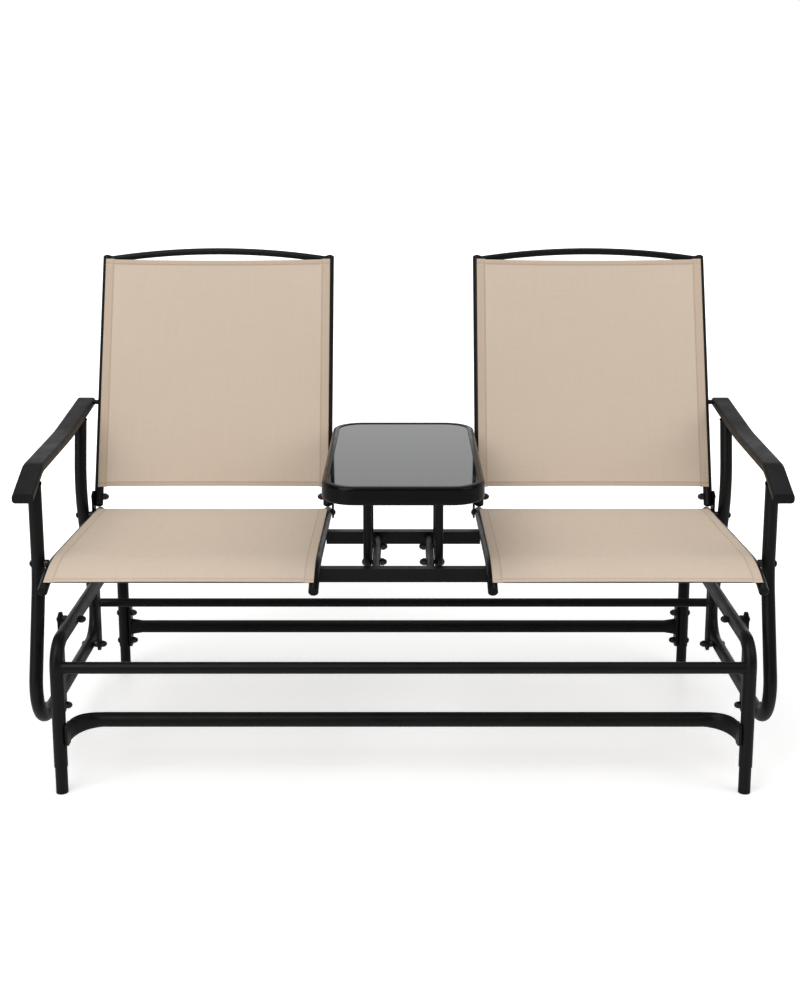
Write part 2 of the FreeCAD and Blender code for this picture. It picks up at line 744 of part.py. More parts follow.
for side, sign in SIDES:
    for place, rail_x, _ in RAILS:
        rail = tube(f"seat_rail_{place}_{side}", RAIL_PATH, "rail_diameter", upright=False)
        drill(rail, "YZ_Plane", PLATE_BOLTS[:1] + (SIDE_BOLTS if place == "outer" else []))
        at(rail, x=f"{sign} * {rail_x}")
    for place, y, height in (("front", "(rail_front_y + front_spreader_inset)", on_bend),
                             ("rear", "(rail_rear_y - rear_spreader_inset)", on_rail)):
        label = f"seat_{place}_tube_{side}"
        spreader = cross_tube(label, "spreader_diameter", y, height(y), f"2 * {SEAT_HALF}")
        cope(spreader, RAIL_PATH, "rail_diameter", SEAT_HALF, upright=False)
        at(spreader, x=f"{sign} * {SEAT_X}")

    sling = new_body(f"seat_sling_{side}")
    lay = new_sketch(sling, "YZ_Plane")
    add_path(lay, [
        (SLING_REAR_Y, on_rail(SLING_REAR_Y), None),
        (RAIL_KNEE_Y, RAIL_KNEE_Z, "rail_bend"),
        ("rail_front_y + sling_front_inset", f"rail_front_height + sling_front_inset * {NOSE_SLOPE}", None),
    ])
    section = new_sketch(sling, "XZ_Plane", f"-{SLING_REAR_Y}")
    sling_bottom = f"{on_rail(SLING_REAR_Y)} + {SLING_FACE}"
    add_rectangle(section, f"-{SLING_WIDTH} / 2", sling_bottom, f"{SLING_WIDTH} / 2",
                  f"{sling_bottom} + sling_thickness")
    feature(sling, "AdditivePipe", section).Spine = (lay, [""])
    at(sling, x=f"{sign} * {SEAT_X}")

# Backs, built upright and then tilted at their feet


def recline(body, x):
    """Stand the body on the foot of the back at x and tilt it backwards."""
    body.Placement = Placement(Vector(), Rotation(Vector(-1, 0, 0), number("recline")))
    bind(body, Placement__Rotation__Angle="recline")
    return at(body, x, BACK_FOOT_Y, BACK_FOOT_Z)


def top_rail(label):
    """An arched tube between two back tubes."""
    body = new_body(label)
    ends = "(back_length - top_rail_drop)"
    arch = new_sketch(body, "XZ_Plane")
    left, right = point(f"-{SEAT_HALF}", ends, "0"), point(SEAT_HALF, ends, "0")
    crown = point("0", f"{ends} + top_rail_rise", "0")
    arc = arch.addGeometry(Part.Arc(left, crown, right))
    first, last = arc_ends(arch, arc, left)
    locate(arch, arc, first, f"-{SEAT_HALF}", ends)
    locate(arch, arc, last, SEAT_HALF, ends)
    constrain(arch, "Radius", arc, size=f"({SEAT_HALF}^2 + top_rail_rise^2) / (2 * top_rail_rise)")
    section = new_sketch(body, "YZ_Plane", f"-{SEAT_HALF}")
    add_circle(section, "0", ends, "top_rail_diameter")
    add_circle(section, "0", ends, "top_rail_diameter - 2 * tube_wall")
    feature(body, "AdditivePipe", section).Spine = (arch, [""])
    fits = new_sketch(body, "XY_Plane")
    for x in (f"-{SEAT_HALF}", SEAT_HALF):
        add_circle(fits, x, "0", "rail_diameter + 2 * weld_gap")
    pocket(body, fits)
    return body


pegs = []
for side, sign in SIDES:
    for place, rail_x, _ in RAILS:
        back_tube = new_body(f"back_tube_{place}_{side}")
        section = new_sketch(back_tube, "XY_Plane")
        add_circle(section, "0", "0", "rail_diameter")
        add_circle(section, "0", "0", "rail_diameter - 2 * tube_wall")
        pad(back_tube, section, "back_length", symmetric=False)
        drill(back_tube, "YZ_Plane", [("0", "back_bolt_rise")])
        recline(back_tube, f"{sign} * {rail_x}")
    recline(top_rail(f"back_top_rail_{side}"), f"{sign} * {SEAT_X}")

    sling = new_body(f"back_sling_{side}")
    outline = new_sketch(sling, "YZ_Plane")
    add_rectangle(outline, f"-{SLING_FACE} - sling_thickness", "back_sling_bottom",
                  f"-{SLING_FACE}", "back_sling_top")
    pad(sling, outline, SLING_WIDTH)
    recline(sling, f"{sign} * {SEAT_X}")

    peg = new_body(f"arm_peg_{side}", exported=False)
    section = new_sketch(peg, "YZ_Plane")
    peg_rise = f"(arm_rear_height - arm_peg_drop - {BACK_FOOT_Z}) / cos(recline)"
    add_circle(section, "0", peg_rise, "arm_peg_diameter")
    pad(peg, section, f"arm_x - arm_width / 2 - {RAIL_OUTER_X}", symmetric=False, reverse=sign < 0)
    fit = new_sketch(peg, "XY_Plane")
    add_circle(fit, "0", "0", "rail_diameter + 2 * weld_gap")
    pocket(peg, fit)
    pegs.append((recline(peg, f"{sign} * {RAIL_OUTER_X}"), Vector(), UP))
group("arm_pegs", pegs)

plate = new_body("back_plate", exported=False)
outline = new_sketch(plate, "YZ_Plane")
(plate_y, plate_low), (back_bolt_y, plate_high) = PLATE_BOLTS
plate_middle = f"({plate_y} + {back_bolt_y}) / 2"
edges = [(f"{plate_middle} {y_way} plate_width / 2", f"{z} {z_way} plate_width / 2")
         for y_way, z_way, z in (("-", "-", plate_low), ("+", "-", plate_low),
                                 ("+", "+", plate_high), ("-", "+", plate_high))]
add_path(outline, [(y, z, "plate_width / 2 - corner_flat") for y, z in edges], closed=True)
pad(plate, outline, "plate_thickness")
drill(plate, "YZ_Plane", PLATE_BOLTS)

back_bolt = bolt("plate_thickness + rail_diameter + thread_length")
side_bolt = bolt(f"{LOOP_OUTER} - {RAIL_OUTER_X} + rail_diameter / 2 + thread_length")
pivot_bolt = bolt(f"{LOOP_OUTER} - {LINK_INNER} + thread_length")
seat_spacer = sleeve("spacer_diameter", "bolt_hole", f"{LOOP_INNER} - {LINK_OUTER}")
plug = tube_plug()
placed_plates, placed_bolts, placed_nuts, placed_plugs = [], [], [], []
end_lean = f"({RAIL_TILT} + atan({NOSE_SLOPE}))"
front_end = point("0", f"-cos({end_lean})", f"-sin({end_lean})")
back_rise = point("0", "sin(recline)", "cos(recline)")
for _, sign in SIDES:
    for place, rail_x, way in RAILS:
        plate_x = f"({rail_x} + {way} * (rail_diameter + plate_thickness) / 2)"
        head_x = f"({rail_x} + {way} * (rail_diameter / 2 + plate_thickness))"
        nut_x = f"({rail_x} - {way} * rail_diameter / 2)"
        placed_plates.append((plate, point(f"{sign} * {plate_x}", "0", "0"), UP))
        turn = outward(sign * way)
        placed_bolts += [(back_bolt, p, turn) for p in side_points(head_x, PLATE_BOLTS, sign)]
        placed_nuts += [(nut, p, -turn) for p in side_points(nut_x, PLATE_BOLTS, sign)]
        tube_x = f"{sign} * {rail_x}"
        back_foot = point(tube_x, BACK_FOOT_Y, BACK_FOOT_Z)
        placed_plugs += [
            (plug, point(tube_x, "rail_front_y", "rail_front_height"), front_end),
            (plug, point(tube_x, "rail_rear_y", "rail_rear_height"), BACK),
            (plug, back_foot, -back_rise),
            (plug, back_foot + back_rise * number("back_length"), back_rise),
        ]
    nut_x = f"({RAIL_OUTER_X} - rail_diameter / 2)"
    placed_nuts += [(nut, p, outward(-sign)) for p in side_points(nut_x, SIDE_BOLTS, sign)]
    placed_nuts += [(nut, p, outward(-sign)) for p in side_points(LINK_INNER, LOWER_PIVOTS, sign)]
    placed_nuts += [(nut, p, outward(-sign))
                    for p in side_points("(table_tube_x - table_tube_diameter / 2)", TABLE_BOLTS, sign)]
group("tube_plugs", placed_plugs)
group("back_plates", placed_plates)
group("back_bolts", placed_bolts)
group("seat_cap_nuts", placed_nuts)
group("side_bolts", [(side_bolt, p, outward(sign)) for _, sign in SIDES
                     for p in side_points(LOOP_OUTER, SIDE_BOLTS, sign)])
group("pivot_bolts", [(pivot_bolt, p, outward(sign)) for _, sign in SIDES
                      for p in side_points(LOOP_OUTER, LOWER_PIVOTS, sign)])
group("seat_spacers", [(seat_spacer, p, outward(sign)) for _, sign in SIDES
                       for p in side_points(LINK_OUTER, SIDE_BOLTS + LOWER_PIVOTS, sign)])

# Centre table

for place in ("front", "rear"):
    bar = new_body(f"centre_bar_{place}")
    bar_y, bar_z = f"{place}_bar_y", f"{TABLE_TUBE_Z} + {place}_bar_rise"
    section = new_sketch(bar, "YZ_Plane")
    for wall in ("0", "bar_wall"):
        add_rectangle(section, f"{bar_y} - bar_depth / 2 + {wall}", f"{bar_z} - bar_height / 2 + {wall}",
                      f"{bar_y} + bar_depth / 2 - {wall}", f"{bar_z} + bar_height / 2 - {wall}")
    pad(bar, section, "2 * (rail_inner_x - rail_diameter / 2 + bar_overlap)")
    cope(bar, RAIL_PATH, "rail_diameter", "rail_inner_x", upright=False)

for side, sign in SIDES:
    table_tube = new_body(f"table_tube_{side}")
    section = new_sketch(table_tube, "XZ_Plane", "-(front_bar_y + bar_depth / 2)")
    add_circle(section, "0", TABLE_TUBE_Z, "table_tube_diameter")
    add_circle(section, "0", TABLE_TUBE_Z, "table_tube_diameter - 2 * tube_wall")
    pad(table_tube, section, "rear_bar_y - front_bar_y - bar_depth", symmetric=False, reverse=True)
    drill(table_tube, "YZ_Plane", TABLE_BOLTS)
    at(table_tube, x=f"{sign} * table_tube_x")

    front_leg, rear_leg = TABLE_LEG_YS
    table_leg = tube(f"table_leg_{side}", [
        (front_leg, STRAP_BOTTOM, None),
        (front_leg, TABLE_TUBE_Z, "table_leg_bend"),
        (rear_leg, TABLE_TUBE_Z, "table_leg_bend"),
        (rear_leg, STRAP_BOTTOM, None),
    ], "table_leg_diameter")
    drill(table_leg, "YZ_Plane", TABLE_BOLTS)
    at(table_leg, x=f"{sign} * {TABLE_LEG_X}")

table_bolt = bolt("table_leg_diameter + table_leg_gap + table_tube_diameter + thread_length")
group("table_bolts", [(table_bolt, p, outward(sign)) for _, sign in SIDES
                      for p in side_points(f"({TABLE_LEG_X} + table_leg_diameter / 2)", TABLE_BOLTS, sign)])


def add_table_outline(sketch, inset):
    """The table's rounded outline, moved in by the inset."""
    x = f"(table_width / 2 - ({inset}))"
    y = f"(table_depth / 2 - ({inset}))"
    corners = [(f"{x_way}{x}", f"table_y {y_way} {y}") for x_way, y_way in ("--", "+-", "++", "-+")]
    add_path(sketch, [(px, py, f"table_corner - ({inset})") for px, py in corners], closed=True)


def outer_rim_edge(edge):
    """Whether an edge runs round the outside of the rim, at its top or bottom."""
    middle = edge.valueAt(sum(edge.ParameterRange) / 2)
    level = edge.BoundBox.ZLength < SAME_PLACE
    straight_out = max(abs(middle.x) - number("table_width / 2"),
                       abs(middle.y - number("table_y")) - number("table_depth / 2")) > -SAME_PLACE
    outer_corner = getattr(edge.Curve, "Radius", 0) > number("table_corner") - SAME_PLACE
    return level and (straight_out or outer_corner)


rim = new_body("table_rim")
outline = new_sketch(rim, "XY_Plane", "table_height - rim_height")
add_table_outline(outline, "0")
pad(rim, outline, "rim_height", symmetric=False)
round_edges(rim, "rim_edge", outer_rim_edge)
recess = new_sketch(rim, "XY_Plane", "table_height")
add_table_outline(recess, "rim_width")
pocket(rim, recess, f"table_height - {LEDGE_TOP}")
underside = new_sketch(rim, "XY_Plane", "table_height - rim_height")
add_table_outline(underside, "rim_width")
pocket(rim, underside, f"rim_height - table_height + {LEDGE_TOP} - ledge_thickness", reverse=True)
opening = new_sketch(rim, "XY_Plane")
add_table_outline(opening, "rim_width + ledge_width")
pocket(rim, opening)

glass = new_body("table_glass")
outline = new_sketch(glass, "XY_Plane", GLASS_BOTTOM)
add_table_outline(outline, "rim_width + glass_play")
pad(glass, outline, "glass_thickness", symmetric=False)

strap_length = "(table_width - 2 * rim_width - 2 * weld_gap)"
strap = solid("Box", Length=strap_length, Width="strap_width", Height="strap_thickness")
at(strap, f"-{strap_length} / 2", "-strap_width / 2")
group("table_straps", [(strap, point("0", y, STRAP_BOTTOM), UP) for y in TABLE_LEG_YS])

pad_disc = solid("Cylinder", Radius="pad_diameter / 2", Height="pad_thickness")
ledge_middle = "(rim_width + ledge_width / 2)"
pad_places = [(f"{x_way} * (table_width / 2 - {ledge_middle})", f"table_y {y_way} table_depth / 4")
              for x_way in ("-1", "1") for y_way in "-+"]
pad_places += [("0", f"table_y {y_way} (table_depth / 2 - {ledge_middle})") for y_way in "-+"]
group("glass_pads", [(pad_disc, point(x, y, LEDGE_TOP), UP) for x, y in pad_places])

# Checks and files

doc.recompute()
faults = [f"{item.Label}: {item.State}" for item in doc.Objects if {"Invalid", "Error"} & set(item.State)]
faults += [f"{node.Label}: no sound shape" for node in nodes
           if node.Shape.isNull() or not node.Shape.isValid()]
if faults:
    raise SystemExit("\n".join(faults))

os.makedirs("parts", exist_ok=True)
whole = FreeCAD.BoundBox()
for node in nodes:
    node.Shape.exportStep(f"parts/{node.Label}.step")
    whole.add(node.Shape.BoundBox)
print(len(nodes), "nodes in", whole)
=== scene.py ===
"""Looks of the double patio glider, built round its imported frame.

Lengths are in metres in the frame's own axes: X across the seats, +Y to the back, +Z up.
"""

import json
import math

import bpy
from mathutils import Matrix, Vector, noise


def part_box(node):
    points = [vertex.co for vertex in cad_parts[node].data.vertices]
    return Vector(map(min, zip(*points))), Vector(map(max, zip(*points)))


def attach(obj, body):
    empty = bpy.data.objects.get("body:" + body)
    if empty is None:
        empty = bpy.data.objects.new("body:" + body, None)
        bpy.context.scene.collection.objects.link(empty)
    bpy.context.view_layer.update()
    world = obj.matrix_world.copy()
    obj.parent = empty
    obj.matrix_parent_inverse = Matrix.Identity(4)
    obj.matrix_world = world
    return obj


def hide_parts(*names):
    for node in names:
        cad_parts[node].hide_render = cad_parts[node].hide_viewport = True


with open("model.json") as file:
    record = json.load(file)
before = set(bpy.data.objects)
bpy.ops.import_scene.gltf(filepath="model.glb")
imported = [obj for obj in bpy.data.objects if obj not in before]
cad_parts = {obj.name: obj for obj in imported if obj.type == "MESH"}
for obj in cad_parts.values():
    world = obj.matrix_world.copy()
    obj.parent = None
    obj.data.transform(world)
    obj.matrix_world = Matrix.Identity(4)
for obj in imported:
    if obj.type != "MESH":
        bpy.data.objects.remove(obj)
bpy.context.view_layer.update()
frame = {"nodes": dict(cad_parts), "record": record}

MM = 0.001
SIDES = ("left", "right")
ACROSS = Vector((1, 0, 0))
DEEP = Vector((0, 1, 0))
UP = Vector((0, 0, 1))
WHITE = (1, 1, 1, 1)

# Line of a seat rail in the YZ plane: its rear end, the knee above its bend, its front end.
RAIL_REAR = Vector((0.178, 0.403))
RAIL_KNEE = Vector((-0.262, 0.421))
RAIL_FRONT = Vector((-0.332, 0.393))
RAIL_BEND = 0.220

# Line of a back tube in the YZ plane: its foot and its lean from upright.
BACK_FOOT = Vector((0.1617, 0.421))
RECLINE = math.radians(20.6)

# Seat slings: lengths along the rail, hems at the rear and front, and where the sag sets in.
SEAT_CLOTH_REAR = 26 * MM
SEAT_CLOTH_FRONT = 14 * MM
REAR_SPREADER = 68 * MM
FRONT_SPREADER = 35 * MM
SEAT_WRAP = math.radians(1)
SEAT_HEMS = (10 * MM, 10 * MM)
SEAT_BOWS = (1 * MM, 1 * MM)
# Painted shade on the seat's doubled cloth: a share of the full darkening.
SEAT_FOLD_SHADE = 0.3
SEAT_SAG = 7 * MM
SEAT_SAG_REAR = 160 * MM
SEAT_SAG_FRONT = 200 * MM

# Back slings: lengths along the tube, hems at the foot and top, and where the sag sets in.
BACK_CLOTH_FOOT = 38 * MM
BACK_CLOTH_TOP = 546 * MM
BACK_WRAP = math.radians(6)
BACK_HEMS = (10 * MM, 12 * MM)
BACK_BOWS = (1 * MM, 1.8 * MM)
# Painted shade on the back's doubled cloth, in full: the double cloth holds back the backdrop's
# light behind it.
BACK_FOLD_SHADE = 1.0
BACK_SAG = 8 * MM
BACK_SAG_BEFORE = 120 * MM
BACK_SAG_WITHIN = 200 * MM

# Cloth, its side pockets, its folds and its seams.
CLOTH = 1.2 * MM
CLOTH_GAP = 0.3 * MM
CUT_EDGE = 0.35
POCKET = 19 * MM
FOLD_RISE = 0.5 * MM
FOLD_EDGE = 0.5 * MM
TUCK = 1.4 * MM
SEAM_INSET = 2 * MM
SEAM_DIP = 0.9 * MM
SEAM_WIDTH = 1.1 * MM
DEEPEST_DIP = CLOTH / 3
CREASE_PULL = 0.65
CREASE_PITCH = 45 * MM
PUCKER = 0.22 * MM
PUCKER_PITCH = 14 * MM
PUCKER_REACH = 5 * MM
RIPPLE = 0.7 * MM
RIPPLE_PITCH = 140 * MM

# Stitches: their length and spacing, the thread's radius, and the two rings between their ends.
STITCH = 3.1 * MM
STITCH_PITCH = 4.2 * MM
THREAD = 0.32 * MM
THREAD_RING = ((1, 0), (0, 1), (-1, 0), (0, -1))
STITCH_RINGS = (0.25, 0.75)
STITCH_CROWN = 0.3

# Steps of the cloth's mesh.
FINE_STEP = 1.2 * MM
COARSE_STEP = 6 * MM
FINE_MARGIN = 4 * MM
NORMAL_STEP = 0.2 * MM
UV_NAME = "cloth"


def link_object(name, data):
    """A new object of that mesh, lamp or camera in the scene."""
    made = bpy.data.objects.new(name, data)
    bpy.context.scene.collection.objects.link(made)
    return made


def smooth_object(name, points, faces, look):
    """A new object of those points and faces, shaded smooth."""
    mesh = bpy.data.meshes.new(name)
    mesh.from_pydata(points, [], faces)
    mesh.polygons.foreach_set("use_smooth", [True] * len(mesh.polygons))
    mesh.materials.append(look)
    return link_object(name, mesh)


def smooth(low, high, x):
    """0 below low, 1 above high, with an easy turn between."""
    t = min(max((x - low) / (high - low), 0.0), 1.0)
    return t * t * (3 - 2 * t)


# Materials

TONE_SCALE = 9
FINISH_SCALE = 28
GRAIN_STRENGTH = 0.5
WEAVE_PITCH = 1.9 * MM
WEAVE_RELIEF = 0.25 * MM
WEAVE_STRENGTH = 0.5
YARN_EDGE = (0.05, 0.45)
SLUB_ACROSS = 420
SLUB_ALONG = 9
WEAR_SCALE = 60
TWIST_SCALE = 2600
HAZE_SCALE = 14

# Most of a noise texture lies between these.
NOISE_LOW = 0.35
NOISE_HIGH = 0.65

# At scale 1 a wave texture repeats once in this length.
WAVE_PERIOD = math.pi / 10


def new_material(name):
    """An empty material with its Principled shader."""
    made = bpy.data.materials.new(name)
    made.use_nodes = True
    return made, made.node_tree, made.node_tree.nodes["Principled BSDF"]


def fill(tree, node, values):
    """Sets a node's sockets: another socket is linked, and anything else is the value."""
    for key, value in values.items():
        if isinstance(value, bpy.types.NodeSocket):
            tree.links.new(value, node.inputs[key])
        else:
            node.inputs[key].default_value = value


def add(tree, kind, values=None, **settings):
    """A node with its socket values and its settings."""
    made = tree.nodes.new(kind)
    for key, value in settings.items():
        setattr(made, key, value)
    fill(tree, made, values or {})
    return made


def place(tree):
    """Coordinates of the object."""
    return add(tree, "ShaderNodeTexCoord").outputs["Object"]


def noise_of(tree, vector, scale, detail):
    """Noise from 0 to 1."""
    values = {"Vector": vector, "Scale": scale, "Detail": detail}
    return add(tree, "ShaderNodeTexNoise", values).outputs["Fac"]


def between(tree, factor, low, high, start=NOISE_LOW, stop=NOISE_HIGH):
    """A number from low to high as the factor runs from start to stop."""
    limits = {"Value": factor, "From Min": start, "From Max": stop, "To Min": low, "To Max": high}
    return add(tree, "ShaderNodeMapRange", limits).outputs["Result"]


def tint(tree, factor, low, high, start=NOISE_LOW, stop=NOISE_HIGH):
    """A colour from low to high as the factor runs from start to stop."""
    ramp = add(tree, "ShaderNodeValToRGB", {"Fac": factor})
    first, last = ramp.color_ramp.elements
    first.position, first.color = start, (*low, 1)
    last.position, last.color = stop, (*high, 1)
    return ramp.outputs["Color"]


def blend(tree, factor, low, high):
    """Two numbers mixed by a factor."""
    return add(tree, "ShaderNodeMix", {"Factor": factor, "A": low, "B": high}).outputs["Result"]


def mixed(tree, factor, low, high, way="MIX"):
    """Two colours mixed by a factor: a mix node takes colours at 6 and 7 and gives one at 2."""
    values = {0: factor, 6: low, 7: high}
    return add(tree, "ShaderNodeMix", values, data_type="RGBA", blend_type=way).outputs[2]


def number_math(tree, operation, first, second):
    """The result of an operation on two numbers."""
    return add(tree, "ShaderNodeMath", {0: first, 1: second}, operation=operation).outputs[0]


def vector_math(tree, operation, *vectors):
    """The node of an operation on one or two vectors."""
    return add(tree, "ShaderNodeVectorMath", dict(enumerate(vectors)), operation=operation)


def bump(tree, height, strength, distance):
    """A normal roughened by a height."""
    values = {"Height": height, "Strength": strength, "Distance": distance}
    return add(tree, "ShaderNodeBump", values).outputs["Normal"]


def coated(name, dark, light, rough, grain, relief, specular):
    """A coated or moulded surface: fine grain, and a finish that varies over the piece."""
    made, tree, shader = new_material(name)
    vector = place(tree)
    fine = noise_of(tree, vector, 1 / grain, 2)
    fill(tree, shader, {
        "Base Color": tint(tree, noise_of(tree, vector, TONE_SCALE, 3), dark, light),
        "Roughness": between(tree, noise_of(tree, vector, FINISH_SCALE, 4), *rough),
        "Specular IOR Level": specular,
        "Normal": bump(tree, fine, GRAIN_STRENGTH, relief),
    })
    return made


def cloth_material(name, weft, warp, gap, doubled, seam_dip_and_shade, rough, specular, sheen):
    """Coated yarn in a plain weave, with slubs along both yarns.

    It is painted darker where it is doubled and along its seams: painted shade of the light that
    the double cloth holds back and of the seams' hollows.
    """
    made, tree, shader = new_material(name)
    flat = add(tree, "ShaderNodeUVMap", uv_map=UV_NAME).outputs["UV"]

    def slubs(across, along):
        values = {"Vector": flat, "Scale": (across, along, 1)}
        return noise_of(tree, add(tree, "ShaderNodeMapping", values).outputs[0], 1, 3)

    def yarn(direction):
        values = {"Vector": flat, "Scale": WAVE_PERIOD / WEAVE_PITCH}
        return add(tree, "ShaderNodeTexWave", values, bands_direction=direction).outputs["Fac"]

    squares = {"Vector": flat, "Scale": 1 / WEAVE_PITCH}
    over = add(tree, "ShaderNodeTexChecker", squares).outputs["Fac"]
    height = blend(tree, over, yarn("X"), yarn("Y"))
    warp_tone = tint(tree, slubs(SLUB_ACROSS, SLUB_ALONG), weft, warp)
    weft_tone = tint(tree, slubs(SLUB_ALONG, SLUB_ACROSS), weft, warp)
    tone = mixed(tree, over, warp_tone, weft_tone)
    tone = mixed(tree, between(tree, height, 0.0, 1.0, *YARN_EDGE), (*gap, 1), tone)
    # Painted shade, multiplied in where the cloth is doubled and along its seams.
    for layer, colour in (("doubled", doubled), ("seam_dip_and_shade", seam_dip_and_shade)):
        where = add(tree, "ShaderNodeAttribute", attribute_name=layer).outputs["Fac"]
        tone = mixed(tree, where, tone, (*colour, 1), "MULTIPLY")
    fill(tree, shader, {
        "Base Color": tone,
        "Roughness": between(tree, slubs(WEAR_SCALE, WEAR_SCALE), *rough),
        "Specular IOR Level": specular,
        "Sheen Weight": sheen,
        "Normal": bump(tree, height, WEAVE_STRENGTH, WEAVE_RELIEF),
    })
    return made


def thread_material(name, dark, light, rough):
    """Sewing thread, twisted finely."""
    made, tree, shader = new_material(name)
    twist = noise_of(tree, place(tree), TWIST_SCALE, 1)
    fill(tree, shader, {"Base Color": tint(tree, twist, dark, light), "Roughness": rough})
    return made


def glass_material(name, dark, light, rough, ior, specular):
    """Dark tempered glass, with a trace of haze on its polish."""
    made, tree, shader = new_material(name)
    haze = noise_of(tree, place(tree), HAZE_SCALE, 4)
    fill(tree, shader, {
        "Base Color": tint(tree, haze, dark, light),
        "Roughness": between(tree, haze, *rough),
        "IOR": ior,
        "Specular IOR Level": specular,
    })
    return made


LOOKS = {
    "frame": coated(
        "powder_coat", dark=(0.0044, 0.0047, 0.0047), light=(0.0060, 0.0063, 0.0063),
        rough=(0.36, 0.46), grain=1.1 * MM, relief=0.03 * MM, specular=0.17),
    "fastener": coated(
        "black_zinc", dark=(0.007, 0.007, 0.007), light=(0.011, 0.011, 0.012),
        rough=(0.28, 0.40), grain=0.7 * MM, relief=0.03 * MM, specular=0.45),
    "table_rim": coated(
        "rim_plastic", dark=(0.0026, 0.0028, 0.0029), light=(0.0036, 0.0038, 0.0039),
        rough=(0.20, 0.27), grain=0.8 * MM, relief=0.02 * MM, specular=0.12),
    "glass_pad": coated(
        "pad_rubber", dark=(0.020, 0.020, 0.020), light=(0.030, 0.030, 0.030),
        rough=(0.70, 0.85), grain=0.6 * MM, relief=0.05 * MM, specular=0.3),
    "bush": coated(
        "bush_nylon", dark=(0.012, 0.012, 0.012), light=(0.020, 0.020, 0.020),
        rough=(0.45, 0.60), grain=0.8 * MM, relief=0.03 * MM, specular=0.4),
    "end_plug": coated(
        "plug_plastic", dark=(0.005, 0.005, 0.005), light=(0.008, 0.008, 0.008),
        rough=(0.62, 0.75), grain=0.8 * MM, relief=0.05 * MM, specular=0.15),
    "table_glass": glass_material(
        "smoked_glass", dark=(0.006, 0.008, 0.010), light=(0.009, 0.011, 0.013),
        rough=(0.03, 0.07), ior=1.48, specular=0.42),
    # The sling cloth's doubled and seam colours are painted shade.
    "sling_fabric": cloth_material(
        "sling_cloth", weft=(0.670, 0.553, 0.442), warp=(0.715, 0.595, 0.480),
        gap=(0.550, 0.445, 0.350), doubled=(0.90, 0.865, 0.835), seam_dip_and_shade=(0.72, 0.68, 0.64),
        rough=(0.55, 0.7), specular=0.18, sheen=0.03),
}
THREAD_LOOK = thread_material(
    "seam_thread", dark=(0.46, 0.37, 0.28), light=(0.56, 0.46, 0.36), rough=0.6)

for piece in frame["record"]["subparts"]:
    mesh = frame["nodes"][piece["node"]].data
    mesh.materials.clear()
    mesh.materials.append(LOOKS[piece["material_slot"]])


# Slings


def seat_line():
    """The seat rail's line by the length from its rear end, and its whole length."""
    first = (RAIL_KNEE - RAIL_REAR).normalized()
    second = (RAIL_FRONT - RAIL_KNEE).normalized()
    turn = first.angle(second)
    reach = RAIL_BEND * math.tan(turn / 2)
    bend_start = (RAIL_KNEE - RAIL_REAR).length - reach
    bend_end = bend_start + RAIL_BEND * turn
    rear_up = Vector((first.y, -first.x))
    front_up = Vector((second.y, -second.x))
    centre = RAIL_KNEE - first * reach - rear_up * RAIL_BEND

    def at(length):
        """A point of the line, and the way up from it."""
        if length <= bend_start:
            return RAIL_REAR + first * length, rear_up
        if length >= bend_end:
            return RAIL_KNEE + second * (length - bend_end + reach), front_up
        angle = (length - bend_start) / RAIL_BEND
        up = rear_up * math.cos(angle) + first * math.sin(angle)
        return centre + up * RAIL_BEND, up

    return at, bend_end + (RAIL_FRONT - RAIL_KNEE).length - reach


def back_line(length):
    """A point of a back tube's line by the length from its foot, and the way forward from it."""
    rise = Vector((math.sin(RECLINE), math.cos(RECLINE)))
    return BACK_FOOT + rise * length, Vector((-rise.y, rise.x))


def stations(length, band):
    """Places along a strip, close together in a band at each end and further apart between."""
    count = round(band / FINE_STEP)
    edge = [band * i / count for i in range(count + 1)]
    middle = length - 2 * band
    count = round(middle / COARSE_STEP)
    inner = [band + middle * i / count for i in range(1, count)]
    return edge + inner + [length - e for e in reversed(edge)]


def skin(columns, rows):
    """Faces of a sheet's two sides, one layer of points each, and of its cut edge all round."""
    layer = columns * rows
    faces = []
    for j in range(rows - 1):
        for i in range(columns - 1):
            a = j * columns + i
            quad = (a, a + 1, a + columns + 1, a + columns)
            faces.append(quad)
            faces.append(tuple(layer + k for k in reversed(quad)))
    rim = list(range(columns))
    rim += [j * columns + columns - 1 for j in range(1, rows)]
    rim += [(rows - 1) * columns + i for i in range(columns - 2, -1, -1)]
    rim += [j * columns for j in range(rows - 2, 0, -1)]
    return faces + [(b, a, layer + a, layer + b) for a, b in zip(rim, rim[1:] + rim[:1])]


